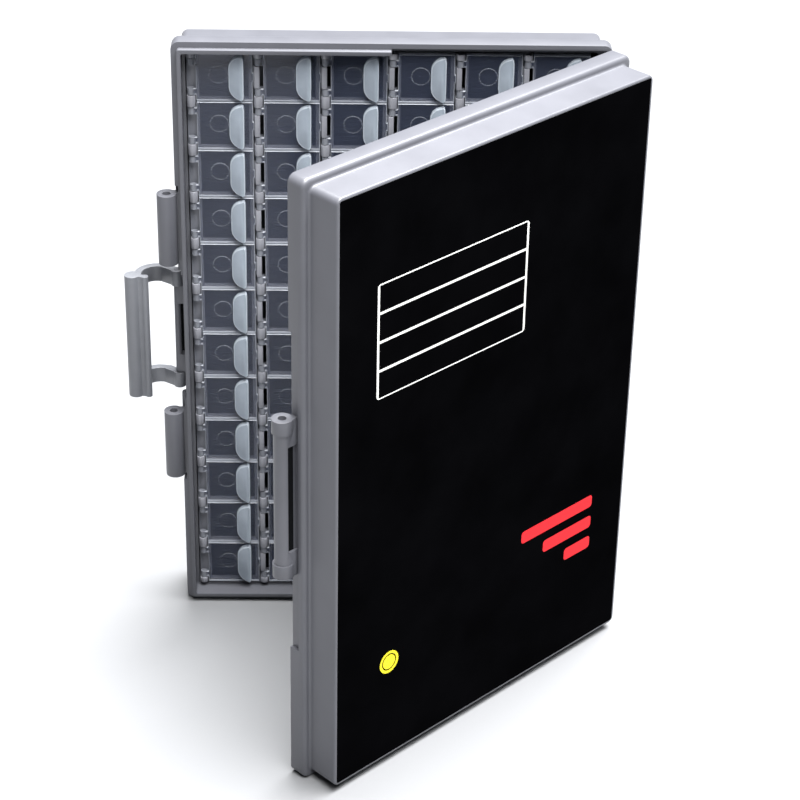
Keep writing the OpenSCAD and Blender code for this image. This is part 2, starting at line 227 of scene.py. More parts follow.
    gate_bead: bpy.props.FloatProperty(
        name="Gate bead", description="Half the width of the ring's bead",
        default=0.14 * MM, unit="LENGTH")


class CasePrints(bpy.types.PropertyGroup):
    """Sizes of the label's prints, and their places from the middle of the label."""

    ink_rise: bpy.props.FloatProperty(
        name="Ink rise", description="Height of the printed ink on the label",
        default=0.04 * MM, unit="LENGTH")
    ink_sunk: bpy.props.FloatProperty(
        name="Ink depth", description="Depth that a print reaches into the film",
        default=0.1 * MM, unit="LENGTH")
    ink_corner: bpy.props.FloatProperty(
        name="Ink corner", description="Corner radius of the prints",
        default=1.2 * MM, unit="LENGTH")
    ink_line: bpy.props.FloatProperty(
        name="Ink line", description="Width of a printed line",
        default=0.9 * MM, unit="LENGTH")
    panel_left: bpy.props.FloatProperty(
        name="Panel left", description="Left side of the write-on panel",
        default=-56.0 * MM, unit="LENGTH")
    panel_right: bpy.props.FloatProperty(
        name="Panel right", description="Right side of the write-on panel",
        default=14.0 * MM, unit="LENGTH")
    panel_low: bpy.props.FloatProperty(
        name="Panel foot", description="Lower side of the write-on panel",
        default=36.0 * MM, unit="LENGTH")
    panel_high: bpy.props.FloatProperty(
        name="Panel top", description="Upper side of the write-on panel",
        default=78.0 * MM, unit="LENGTH")
    panel_rows: bpy.props.IntProperty(
        name="Panel rows", description="Rows that the panel's lines leave for writing",
        default=4, min=1)
    bar_right: bpy.props.FloatProperty(
        name="Bars right", description="Right end of the bars",
        default=56.0 * MM, unit="LENGTH")
    bar_top: bpy.props.FloatProperty(
        name="Bars top", description="Upper side of the first bar",
        default=-48.0 * MM, unit="LENGTH")
    bar_height: bpy.props.FloatProperty(
        name="Bar height", description="Height of a bar",
        default=5.0 * MM, unit="LENGTH")
    bar_pitch: bpy.props.FloatProperty(
        name="Bar pitch", description="Distance from one bar to the next",
        default=9.0 * MM, unit="LENGTH")
    bar_length: bpy.props.FloatProperty(
        name="Bar length", description="Length of the first bar",
        default=38.0 * MM, unit="LENGTH")
    bar_step: bpy.props.FloatProperty(
        name="Bar step", description="Length that each bar loses to the one above it",
        default=12.0 * MM, unit="LENGTH")
    bar_count: bpy.props.IntProperty(
        name="Bars", description="Number of bars",
        default=3, min=1)
    dot_across: bpy.props.FloatProperty(
        name="Dot across", description="Place of the dot across the label",
        default=-48.0 * MM, unit="LENGTH")
    dot_up: bpy.props.FloatProperty(
        name="Dot up", description="Place of the dot up the label",
        default=-72.0 * MM, unit="LENGTH")
    dot_radius: bpy.props.FloatProperty(
        name="Dot radius", description="Radius of the dot",
        default=4.5 * MM, unit="LENGTH")


class CaseColours(bpy.types.PropertyGroup):
    """Colours of the plastics and prints, as sRGB hex values."""

    shell: bpy.props.StringProperty(
        name="Shell", description="Grey of the moulded shells", default="#58595f")
    strip: bpy.props.StringProperty(
        name="Strips", description="Blue-grey of the pocket strips", default="#74767e")
    # Painted highlight: the paler grey of the posts and catches stands in for the top light falling on them.
    clip: bpy.props.StringProperty(
        name="Clips", description="Paler grey of the rubbed posts and catches", default="#8a8b92")
    # Painted shade: this near black stands in for the shadow in the narrow slots.
    slot: bpy.props.StringProperty(
        name="Slots", description="Near black of the narrow slots", default="#0b0c0e")
    latch: bpy.props.StringProperty(
        name="Latch", description="Grey of the latch", default="#6c6e73")
    lid: bpy.props.StringProperty(
        name="Lids", description="Smoky tint of the clear lids", default="#4c5367")
    # Painted highlight: this paler grey on the lids' edges stands in for the light that they catch.
    frost: bpy.props.StringProperty(
        name="Lid edges", description="Pale grey of the lids' moulded edges", default="#c2c7d0")
    barrel: bpy.props.StringProperty(
        name="Lid barrels", description="Cloudy grey of the lids' barrels", default="#8d9098")
    tab: bpy.props.StringProperty(
        name="Pull tabs", description="Milky white of the pull tabs", default="#a9b4c0")
    tab_edge: bpy.props.StringProperty(
        name="Tab rims", description="Paler white of the pull tabs' rims", default="#bcc5ce")
    label: bpy.props.StringProperty(
        name="Label", description="Black of the label film", default="#050506")
    ink_white: bpy.props.StringProperty(
        name="White ink", description="White of the write-on panel", default="#eeeeea")
    ink_red: bpy.props.StringProperty(
        name="Red ink", description="Red of the printed bars", default="#dd1420")
    ink_yellow: bpy.props.StringProperty(
        name="Yellow ink", description="Yellow of the printed dot", default="#e6d722")
    steel: bpy.props.StringProperty(
        name="Steel", description="Colour of the hinge pin", default="#b4b6ba")
    floor: bpy.props.StringProperty(
        name="Floor", description="Grey of the floor, which the light turns pale", default="#7d7e80")
    room: bpy.props.StringProperty(
        name="Room", description="Cool white of the room's even light", default="#f7f9ff")


class CaseStage(bpy.types.PropertyGroup):
    """Camera and studio light."""

    camera_place: bpy.props.FloatVectorProperty(
        name="Camera", description="Where the camera stands",
        default=(-0.01604, -0.78671, 0.54451), size=3, subtype="XYZ", unit="LENGTH")
    camera_aim: bpy.props.FloatVectorProperty(
        name="Aim", description="Point that the camera looks at",
        default=(0.00502, -0.00848, 0.09298), size=3, subtype="XYZ", unit="LENGTH")
    camera_roll: bpy.props.FloatProperty(
        name="Roll", description="Turn of the camera about its line of sight",
        default=math.radians(1.16), subtype="ANGLE")
    camera_lens: bpy.props.FloatProperty(
        name="Lens", description="Focal length in millimetres on a 36 mm sensor", default=108.87)
    floor_size: bpy.props.FloatProperty(
        name="Floor", description="Length of the floor's sides", default=20.0, unit="LENGTH")
    light_aim: bpy.props.FloatVectorProperty(
        name="Light aim", description="Point that both lights face",
        default=(0.0, 0.0, 0.1), size=3, subtype="XYZ", unit="LENGTH")
    top_place: bpy.props.FloatVectorProperty(
        name="Top light", description="Where the broad light above shines from",
        default=(0.25, 0.25, 1.25), size=3, subtype="XYZ", unit="LENGTH")
    top_spread: bpy.props.FloatProperty(
        name="Top spread", description="Angle that the broad light above fills",
        default=math.radians(42), subtype="ANGLE")
    top_strength: bpy.props.FloatProperty(
        name="Top strength", description="Strength of the broad light above", default=14.5)
    front_place: bpy.props.FloatVectorProperty(
        name="Front light", description="Where the soft box in front hangs",
        default=(0.2, -0.5, 1.2), size=3, subtype="XYZ", unit="LENGTH")
    front_size: bpy.props.FloatProperty(
        name="Front size", description="Length of the soft box's sides", default=0.8, unit="LENGTH")
    front_power: bpy.props.FloatProperty(
        name="Front power", description="Power of the soft box in front", default=32.0, unit="POWER")
    sky: bpy.props.FloatProperty(
        name="Room light", description="Strength of the even light of the room", default=0.06)


def hex_linear(text):
    """An sRGB hex value as linear red, green, blue and alpha."""
    parts = [int(text[i:i + 2], 16) / 255 for i in (1, 3, 5)]
    return [p / 12.92 if p <= 0.04045 else ((p + 0.055) / 1.055) ** 2.4 for p in parts] + [1.0]


def shade(colour, factor):
    """A linear colour made lighter or darker."""
    return [min(1.0, part * factor) for part in colour[:3]] + [1.0]


def put(tree, kind, feeds=None, **settings):
    """Adds a node, with its settings, and the values or links of its inputs."""
    made = tree.nodes.new(kind)
    for key, value in settings.items():
        setattr(made, key, value)
    for key, value in (feeds or {}).items():
        if isinstance(value, bpy.types.NodeSocket):
            tree.links.new(value, made.inputs[key])
        else:
            made.inputs[key].default_value = value
    return made


def plastic(name, tint, roughness, spread, grain_mm, deep_mm, mottle_mm, alpha=1.0, **constants):
    """A moulded plastic: an even tint that drifts a little, and a fine grain from the mould."""
    material = bpy.data.materials.get(name)
    if material:
        return material
    material = bpy.data.materials.new(name)
    material.use_nodes = True
    tree = material.node_tree
    shader = tree.nodes["Principled BSDF"]
    colour = hex_linear(getattr(bpy.context.scene.case_colours, tint))
    sheen_drift = 0.04
    at = put(tree, "ShaderNodeTexCoord").outputs["Object"]
    drift = put(tree, "ShaderNodeTexNoise",
                {"Vector": at, "Scale": 1 / (mottle_mm * MM), "Detail": 3.0, "Roughness": 0.55})
    ramp = put(tree, "ShaderNodeValToRGB", {"Fac": drift.outputs["Fac"]})
    for stop, place, factor in zip(ramp.color_ramp.elements, (0.3, 0.7), (1 - spread, 1 + spread)):
        stop.position = place
        stop.color = shade(colour, factor)
    tree.links.new(ramp.outputs["Color"], shader.inputs["Base Color"])
    sheen = put(tree, "ShaderNodeMapRange",
                {"Value": drift.outputs["Fac"],
                 "To Min": roughness - sheen_drift, "To Max": roughness + sheen_drift})
    tree.links.new(sheen.outputs["Result"], shader.inputs["Roughness"])
    grain = put(tree, "ShaderNodeTexNoise",
                {"Vector": at, "Scale": 1 / (grain_mm * MM), "Detail": 2.0})
    bump = put(tree, "ShaderNodeBump",
               {"Height": grain.outputs["Fac"], "Distance": deep_mm * MM, "Strength": 1.0})
    tree.links.new(bump.outputs["Normal"], shader.inputs["Normal"])
    shader.inputs["Alpha"].default_value = alpha
    for key, value in constants.items():
        shader.inputs[key.replace("_", " ")].default_value = value
    return material


def only(*things):
    """Selects these objects and nothing else."""
    if bpy.context.mode != "OBJECT":
        bpy.ops.object.mode_set(mode="OBJECT")
    bpy.ops.object.select_all(action="DESELECT")
    for thing in things:
        thing.select_set(True)
    bpy.context.view_layer.objects.active = things[-1]


def edit(thing, kind="FACE"):
    """Opens an object in edit mode with nothing selected."""
    only(thing)
    bpy.ops.object.mode_set(mode="EDIT")
    bpy.ops.mesh.select_mode(type=kind)
    bpy.ops.mesh.select_all(action="DESELECT")


def pick(thing, test, kind="faces"):
    """Selects the faces, edges or verts that pass a test."""
    bpy.ops.mesh.select_all(action="DESELECT")
    mesh = bmesh.from_edit_mesh(thing.data)
    chosen = [part for part in getattr(mesh, kind) if test(part)]
    for part in chosen:
        part.select_set(True)
    mesh.select_flush_mode()
    bmesh.update_edit_mesh(thing.data)
    if not chosen:
        raise RuntimeError(f"nothing to select on {thing.name}")


def finish_faces(thing, test):
    """Gives the faces that pass a test the object's second material."""
    pick(thing, test)
    thing.active_material_index = 1
    bpy.ops.object.material_slot_assign()


def done(thing, angle):
    """Leaves edit mode and shades smooth what turns by less than an angle in degrees."""
    only(thing)
    bpy.ops.object.transform_apply(location=True, rotation=True, scale=True)
    bpy.ops.object.shade_smooth_by_angle(angle=math.radians(angle))
    return thing


def named(name):
    """The new primitive, by its name, with its size applied."""
    thing = bpy.context.active_object
    thing.name = thing.data.name = name
    bpy.ops.object.transform_apply(location=True, rotation=True, scale=True)
    return thing


def brick(name, low, high):
    """A block between two corners."""
    low, high = Vector(low), Vector(high)
    bpy.ops.object.select_all(action="DESELECT")
    bpy.ops.mesh.primitive_cube_add(size=1, location=(low + high) / 2, scale=high - low)
    return named(name)


def dress(thing, *materials):
    """Gives an object these materials."""
    thing.data.materials.clear()
    for material in materials:
        thing.data.materials.append(material)


def own_copy(name, source):
    """A copy of an object with a mesh of its own."""
    thing = bpy.data.objects.new(name, source.data.copy())
    thing.data.name = name
    bpy.context.scene.collection.objects.link(thing)
    return thing


def bare_copy(name, node):
    """A CAD node's form, its facets joined into whole faces, open in edit mode."""
    thing = own_copy(name, frame["nodes"][node])
    edit(thing, "EDGE")
    bpy.ops.mesh.select_all(action="SELECT")
    bpy.ops.mesh.remove_doubles(threshold=0.002 * MM)
    bpy.ops.mesh.dissolve_limited(angle_limit=math.radians(0.6))
    return thing


def round_sharp(thing, radius, steps, skip=lambda edge: False):
    """Gives the sharp edges, but those to skip, the radii of a moulding."""
    pick(thing, lambda e: e.calc_face_angle(0) > SHARP and not skip(e), "edges")
    bpy.ops.mesh.bevel(offset=radius, offset_type="OFFSET", segments=steps, profile=0.5, clamp_overlap=True)
    bpy.ops.object.mode_set(mode="OBJECT")
    return done(thing, 40)


def repeat_rows(thing, count):
    """Repeats an object up a strip, once for each row."""
    only(thing)
    rows = thing.modifiers.new("rows", "ARRAY")
    rows.count = count
    rows.use_relative_offset = False
    rows.use_constant_offset = True
    rows.constant_offset_displace = (0, 0, ROW_PITCH)
    bpy.ops.object.modifier_apply(modifier=rows.name)


def into_shell(facing):
    """The way from a shell's rim to its outer face."""
    return Vector((math.sin(facing), -math.cos(facing), 0))


def rear_axis(name):
    """Place of a rear node's lowest lid: its hinge axis at the middle of its lower clip post."""
    at = joint_place(f"{name}_hinge")
    rows_below = 0.5 if name in SINGLE_LIDS else ROWS / 2
    return Matrix.Translation(at - Vector((0, 0, rows_below * ROW_PITCH)))


def front_axis(name):
    """The same for the front half, whose strips stand turned end for end."""
    at = joint_place(f"{name}_hinge") + Vector((0, 0, ROWS / 2 * ROW_PITCH))
    opened = bpy.context.scene.case_sizes.cover_open
    return Matrix.Translation(at) @ Matrix.Rotation(opened, 4, "Z") @ Matrix.Rotation(math.pi, 4, "X")


def shell_plastic():
    # Moulded ABS with a satin spark-eroded face: even mid grey with a faint lilac cast, soft wide highlights.
    # The grain is about 0.1 mm; it is drawn at 0.5 mm so that it shows.
    return plastic("satin_moulded_abs", "shell", roughness=0.42, spread=0.05,
                   grain_mm=0.5, deep_mm=0.012, mottle_mm=14.0, IOR=1.53)


def strip_plastic():
    # The same ABS in a bluer grey, from a polished mould, so the pockets are smoother inside.
    return plastic("strip_moulded_abs", "strip", roughness=0.36, spread=0.06,
                   grain_mm=0.4, deep_mm=0.006, mottle_mm=9.0, IOR=1.53)


def clip_highlight_plastic():
    # Painted highlight: the posts and catches stand proud of the strip's top, and this paler grey stands in for
    # the top light falling on them; they are a little glossier too.
    return plastic("rubbed_abs", "clip", roughness=0.3, spread=0.06,
                   grain_mm=0.4, deep_mm=0.006, mottle_mm=3.0, IOR=1.53)


def slot_shade_plastic():
    # Painted shade: the floor of a deep narrow slot gets near black and hardly any shine, standing in for the
    # shadow where hardly any light gets in.
    return plastic("dusty_slot_abs", "slot", roughness=0.6, spread=0.2,
                   grain_mm=0.6, deep_mm=0.01, mottle_mm=2.0, IOR=1.53, Specular_IOR_Level=0.1)


def latch_plastic():
    # ABS that bends at each use: a paler grey than the shells, a little shinier where fingers rub it.
    return plastic("latch_moulded_abs", "latch", roughness=0.38, spread=0.06,
                   grain_mm=0.5, deep_mm=0.01, mottle_mm=6.0, IOR=1.53)


def lid_plastic():
    # Clear polystyrene with a smoky blue tint, polished: it darkens what is under it.
    return plastic("clear_polystyrene", "lid", roughness=0.12, spread=0.05,
                   grain_mm=2.5, deep_mm=0.004, mottle_mm=6.0, alpha=0.26, IOR=1.59)


def edge_highlight_plastic():
    # Painted highlight: the cut edges of the same polystyrene take a paler grey that stands in for the light they
    # gather, so they show as pale lines.
    return plastic("polystyrene_edge", "frost", roughness=0.3, spread=0.05,
                   grain_mm=0.8, deep_mm=0.006, mottle_mm=4.0, alpha=0.62, IOR=1.59)


def barrel_plastic():
    # The same polystyrene where it turns in the posts: rubbed dull, so it looks cloudy and not like glass.
    return plastic("rubbed_polystyrene", "barrel", roughness=0.5, spread=0.06,
                   grain_mm=0.6, deep_mm=0.008, mottle_mm=3.0, alpha=0.72, IOR=1.59, Specular_IOR_Level=0.3)


def bead_plastic():
    # A low bead on the polished face: a pale line that is only just seen.
    return plastic("polystyrene_bead", "frost", roughness=0.3, spread=0.05,
                   grain_mm=0.8, deep_mm=0.006, mottle_mm=4.0, alpha=0.2, IOR=1.59)


def tab_plastic():
    # The same polystyrene, thick and frosted, so it scatters light and looks milky.
    return plastic("frosted_polystyrene", "tab", roughness=0.25, spread=0.08,
                   grain_mm=0.6, deep_mm=0.008, mottle_mm=7.0, alpha=0.66, IOR=1.59)


def tab_edge_plastic():
    # The rim of a tab, where the milky plastic pipes light to the eye and looks brighter.
    return plastic("frosted_polystyrene_rim", "tab_edge", roughness=0.25, spread=0.04,
                   grain_mm=0.6, deep_mm=0.006, mottle_mm=5.0, alpha=0.85, IOR=1.59)


class CASE_OT_shells(bpy.types.Operator):
    """Rounds the moulded edges of both shells and paints shade, near black, on the floors of their slots"""

    bl_idname = "case.shells"
    bl_label = "Shells"

    def execute(self, context):
        sizes = context.scene.case_sizes
        hinge = joint_place("case_hinge")
        free_edge = Vector((-hinge.x, hinge.y, hinge.z))
        for name, body, facing, notch in (("rear_shell", "rear_half", math.pi, free_edge),
                                          ("front_shell", "front_half", sizes.cover_open, hinge)):
            shell = bare_copy(f"{name}_moulding", name)
            inward = into_shell(facing)
            near_face = sizes.half_depth - 2 * sizes.face_round

            def depth(v):
                return (v.co - hinge).dot(inward)

            self.soften(shell, sizes, depth, near_face, notch)
            round_sharp(shell, sizes.shell_edge, 3, lambda e: all(depth(v) > near_face for v in e.verts))
            dress(shell, shell_plastic(), slot_shade_plastic())
            self.slots(shell, sizes, hinge, inward, name == "rear_shell")
            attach(shell, body)
            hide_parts(name)
        return {"FINISHED"}

    def slots(self, shell, sizes, hinge, inward, at_hinge):
        """Paints shade, near black, on the floors of the slot beside the central knuckle and of the one behind the
        latch bracket.
        """
        out = Vector((inward.y, -inward.x, 0))
        axis = hinge if at_hinge else hinge + 2 * sizes.hinge_to_middle * out

        def in_slot(face, reach):
            away = face.calc_center_median() - axis
            across, depth = away.dot(out), away.dot(inward)
            return (abs(away.z) < sizes.slot_half and -reach < across < sizes.slot_lap
                    and abs(depth - sizes.slot_floor) < sizes.slot_band)

        def behind_bracket(face):
            away = face.calc_center_median() - axis
            return (face.normal.dot(inward) < -FACING and abs(away.dot(inward) - sizes.bracket_floor) < SAME
                    and away.dot(out) < sizes.bracket_width - 2 * sizes.hinge_to_middle)

        edit(shell)
        pick(shell, lambda f: in_slot(f, 2 * sizes.slot_width))
        bpy.ops.mesh.bisect(plane_co=axis - out * sizes.slot_width, plane_no=out)
        finish_faces(shell, lambda f: in_slot(f, sizes.slot_width))
        finish_faces(shell, behind_bracket)
        bpy.ops.object.mode_set(mode="OBJECT")

    def soften(self, shell, sizes, depth, near_face, notch):
        """Rounds the step behind the rim band, but not in the latch's notch, and the edge of the outer face."""
        def in_notch(v):
            away = v.co - notch
            return away.xy.length < sizes.notch_reach and abs(away.z) < sizes.notch_half

        def at_depth(edge, wanted):
            return (all(abs(depth(v) - wanted) < SAME for v in edge.verts)
                    and edge.calc_face_angle(0) > SHARP and not all(in_notch(v) for v in edge.verts))

        for convex, radius in ((True, sizes.step_round), (False, sizes.step_fillet)):
            pick(shell, lambda e: e.is_convex == convex and at_depth(e, sizes.rim_depth), "edges")
            bpy.ops.mesh.bevel(offset=radius, segments=4, profile=0.5, clamp_overlap=True)
        pick(shell, lambda e: at_depth(e, sizes.half_depth) and any(
            depth(v) < near_face for f in e.link_faces for v in f.verts), "edges")
        bpy.ops.mesh.bevel(offset=sizes.face_round, segments=3, profile=0.5, clamp_overlap=True)


class CASE_OT_strips(bpy.types.Operator):
    """Rounds the edges of the twelve pocket strips and cuts the slots beside their catches"""

    bl_idname = "case.strips"
    bl_label = "Pocket strips"

    def execute(self, context):
        sizes = context.scene.case_sizes
        for half, facing, axis in (("rear", math.pi, rear_axis), ("front", sizes.cover_open, front_axis)):
            for column in range(1, COLUMNS + 1):
                name = f"{half}_strip_{column}"
                strip = round_sharp(bare_copy(f"{name}_moulding", name), sizes.strip_edge, 2)
                self.paint_clip_highlight(strip, sizes, facing)
                if column > 1:
                    self.cut_slots(strip, sizes, axis(f"{half}_lids_column_{column}"))
                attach(strip, f"{half}_half")
                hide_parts(name)
        return {"FINISHED"}

    def paint_clip_highlight(self, strip, sizes, facing):
        """Paints a highlight on the posts and catches, which stand above the strip's top: they take the paler,
        glossier grey.
        """
        dress(strip, strip_plastic(), clip_highlight_plastic())
        hinge, inward = joint_place("case_hinge"), into_shell(facing)
        edit(strip)
        finish_faces(strip, lambda f: (f.calc_center_median() - hinge).dot(inward) < sizes.strip_depth - SAME)
        bpy.ops.object.mode_set(mode="OBJECT")

    def cut_slots(self, strip, sizes, matrix):
        """Cuts a slot into the hinge shelf of each row, where the mould reached behind the next strip's catch; its
        faces take near black, painted shade.
        """
        middle = ROW_PITCH / 2
        above, below = sizes.shelf_drop / 2, sizes.shelf_drop + sizes.slot_drop
        cutter = brick("slot_cutter", (sizes.slot_near, above, middle - sizes.catch_half),
                       (sizes.slot_far, below, middle + sizes.catch_half))
        # The cut faces take the cutter's near black: painted shade inside the slots.
        dress(cutter, slot_shade_plastic())
        repeat_rows(cutter, ROWS)
        cutter.data.transform(matrix)
        only(strip)
        cut = strip.modifiers.new("slots", "BOOLEAN")
        cut.operation = "DIFFERENCE"
        cut.solver = "EXACT"
        cut.material_mode = "TRANSFER"
        cut.object = cutter
        bpy.ops.object.modifier_apply(modifier=cut.name)
        bpy.data.objects.remove(cutter)
        done(strip, 40)


class CASE_OT_latch(bpy.types.Operator):
    """Rounds the latch handle and finishes the hinge pin"""

    bl_idname = "case.latch"
    bl_label = "Latch and hinge pin"

    def execute(self, context):
        handle = round_sharp(bare_copy("latch_handle_moulding", "latch_handle"),
                             context.scene.case_sizes.latch_edge, 3)
        dress(handle, latch_plastic())
        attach(handle, "latch")
        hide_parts("latch_handle")
        dress(frame["nodes"]["hinge_pin"], self.drawn_steel())
        return {"FINISHED"}

    def drawn_steel(self):
        # Cold drawn steel rod: bright, with fine streaks along its length.
        # The streaks are about 0.05 mm apart; they are drawn coarser so that they show.
        streak_mm = 0.3
        material = bpy.data.materials.new("drawn_steel")
        material.use_nodes = True
        tree = material.node_tree
        shader = tree.nodes["Principled BSDF"]
        colour = hex_linear(bpy.context.scene.case_colours.steel)
        at = put(tree, "ShaderNodeTexCoord").outputs["Object"]
        along = put(tree, "ShaderNodeMapping", {"Vector": at, "Scale": (1.0, 1.0, 0.02)})
        streak = put(tree, "ShaderNodeTexNoise",
                     {"Vector": along.outputs["Vector"], "Scale": 1 / (streak_mm * MM), "Detail": 2.0})
        tint = put(tree, "ShaderNodeValToRGB", {"Fac": streak.outputs["Fac"]})
        tint.color_ramp.elements[0].color = shade(colour, 0.85)
        tint.color_ramp.elements[1].color = shade(colour, 1.1)
        tree.links.new(tint.outputs["Color"], shader.inputs["Base Color"])
        rough = put(tree, "ShaderNodeMapRange",
                    {"Value": streak.outputs["Fac"], "To Min": 0.22, "To Max": 0.38})
        tree.links.new(rough.outputs["Result"], shader.inputs["Roughness"])
        shader.inputs["Metallic"].default_value = 1.0
        return material


class CASE_OT_lids(bpy.types.Operator):
    """Models one clear lid and sets a copy on every pocket"""

    bl_idname = "case.lids"
    bl_label = "Clear lids"

    def execute(self, context):
        lid = self.model(context.scene.case_sizes)
        for name in SINGLE_LIDS:
            self.set_lids(name, lid, rear_axis(name), 1)
        for name in REAR_LID_SETS:
            self.set_lids(name, lid, rear_axis(name), ROWS)
        for name in FRONT_LID_SETS:
            self.set_lids(name, lid, front_axis(name), ROWS)
        bpy.data.objects.remove(lid)
        return {"FINISHED"}

    def set_lids(self, name, lid, matrix, count):
        """One node's lids: a copy, repeated up the strip."""
        piece = own_copy(f"{name}_clear", lid)
        if count > 1:
            repeat_rows(piece, count)
        piece.data.transform(matrix)
        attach(piece, name)
        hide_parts(name)

    def model(self, sizes):
        """A lid with its hinge axis on z through the origin, its outer face towards -y."""
        face, middle = -sizes.hinge_depth, ROW_PITCH / 2
        plate = self.plate(sizes, face, middle)
        low = self.barrel(sizes, sizes.barrel_start, -1)
        high = self.barrel(sizes, ROW_PITCH - sizes.barrel_start, 1)
        ring = self.gate_ring(sizes, face, middle + sizes.gate_rise)
        tab = self.tab(sizes, face, middle)
        only(low, high, ring, tab, plate)
        bpy.ops.object.join()
        return done(plate, 30)

    def plate(self, sizes, face, middle):
        """The flat plate with its two arms and the tongue on its free end, all but its two broad faces in the
        paler edge grey, a painted highlight.
        """
        x0, x1 = sizes.hinge_reach, sizes.hinge_reach + sizes.lid_length
        plate = brick("lid", (x0, face, sizes.lid_gap / 2),
                      (x1, face + sizes.lid_thickness, ROW_PITCH - sizes.lid_gap / 2))
        start, run = sizes.barrel_start, sizes.barrel_length
        half = sizes.tongue_width / 2
        arms = [(start, start + run), (ROW_PITCH - start - run, ROW_PITCH - start)]
        edit(plate)
        for z in (*arms[0], *arms[1], middle - half, middle + half):
            bpy.ops.mesh.select_all(action="SELECT")
            bpy.ops.mesh.bisect(plane_co=(0, 0, z), plane_no=(0, 0, 1))
        for low, high in arms:
            pick(plate, lambda f: f.normal.x < -FACING and low < f.calc_center_median().z < high)
            bpy.ops.mesh.extrude_region_move(TRANSFORM_OT_translate={"value": (-sizes.hinge_reach, 0, 0)})
        pick(plate, lambda f: f.normal.x > FACING and abs(f.calc_center_median().z - middle) < half)
        bpy.ops.mesh.extrude_region_move(TRANSFORM_OT_translate={"value": (sizes.tongue_reach, 0, 0)})
        bpy.ops.mesh.select_all(action="SELECT")
        bpy.ops.mesh.dissolve_limited(angle_limit=math.radians(1))
        bpy.ops.mesh.select_mode(type="EDGE")
        bpy.ops.mesh.select_all(action="DESELECT")
        bpy.ops.mesh.edges_select_sharp(sharpness=SHARP)
        bpy.ops.mesh.bevel(offset=sizes.lid_edge, segments=1, clamp_overlap=True)
        dress(plate, lid_plastic(), edge_highlight_plastic())
        bpy.ops.mesh.select_mode(type="FACE")
        finish_faces(plate, lambda f: abs(f.normal.y) < FACING)
        bpy.ops.object.mode_set(mode="OBJECT")
        return plate

    def barrel(self, sizes, start, way):
        """A barrel whose outer end draws down to the stub pin."""
        run = sizes.barrel_length
        centre = start - way * run / 2
        bpy.ops.object.select_all(action="DESELECT")
        bpy.ops.mesh.primitive_cylinder_add(vertices=12, radius=sizes.barrel_radius, depth=run,
                                            location=(0, 0, centre))
        barrel = named("lid_barrel")
        edit(barrel)
        pick(barrel, lambda f: f.normal.z * way > FACING)
        bpy.ops.mesh.inset(thickness=sizes.barrel_radius - sizes.stub_radius)
        bpy.ops.mesh.extrude_region_move(TRANSFORM_OT_translate={"value": (0, 0, way * sizes.stub_length)})
        bpy.ops.object.mode_set(mode="OBJECT")
        dress(barrel, barrel_plastic())
        return barrel

    def tab(self, sizes, face, middle):
        """The pull tab: a rounded D that slopes up to its grip edge."""
        edge = sizes.hinge_reach + sizes.lid_length - sizes.tab_flange
        toe = edge - sizes.tab_width
        half = sizes.tab_length / 2
        uncut = 1.5 * sizes.tab_rise
        tab = brick("lid_tab", (toe, face - uncut, middle - half),
                    (edge, face + sizes.lid_thickness / 2, middle + half))
        edit(tab, "EDGE")
        for x, radius, steps in ((toe, sizes.tab_round, 5), (edge, sizes.tab_corner, 2)):
            pick(tab, lambda e: all(abs(v.co.x - x) < SAME for v in e.verts)
                 and abs(e.verts[0].co.y - e.verts[1].co.y) > sizes.tab_rise, "edges")
            bpy.ops.mesh.bevel(offset=radius, segments=steps, profile=0.5)
        slope = Vector((sizes.tab_toe - sizes.tab_rise, -sizes.tab_width, 0)).normalized()
        bpy.ops.mesh.select_all(action="SELECT")
        bpy.ops.mesh.bisect(plane_co=(toe, face - sizes.tab_toe, middle), plane_no=slope, clear_outer=True)
        pick(tab, lambda e: e.is_boundary, "edges")
        bpy.ops.mesh.edge_face_add()
        bpy.ops.mesh.bevel(offset=sizes.tab_crest, segments=2, profile=0.5)
        bpy.ops.mesh.select_all(action="SELECT")
        bpy.ops.mesh.normals_make_consistent(inside=False)
        dress(tab, tab_plastic(), tab_edge_plastic())
        bpy.ops.mesh.select_mode(type="FACE")
        along_slope = 0.98
        finish_faces(tab, lambda f: f.normal.dot(slope) < along_slope)
        bpy.ops.object.mode_set(mode="OBJECT")
        return tab

    def gate_ring(self, sizes, face, middle):
        """The faint moulded ring on the plate."""
        bpy.ops.object.select_all(action="DESELECT")
        bpy.ops.mesh.primitive_torus_add(
            location=(sizes.gate_place, face, middle), rotation=(math.pi / 2, 0, 0),
            major_segments=24, minor_segments=3, major_radius=sizes.gate_radius, minor_radius=sizes.gate_bead)
        ring = named("lid_gate_ring")
        dress(ring, bead_plastic())
        return ring


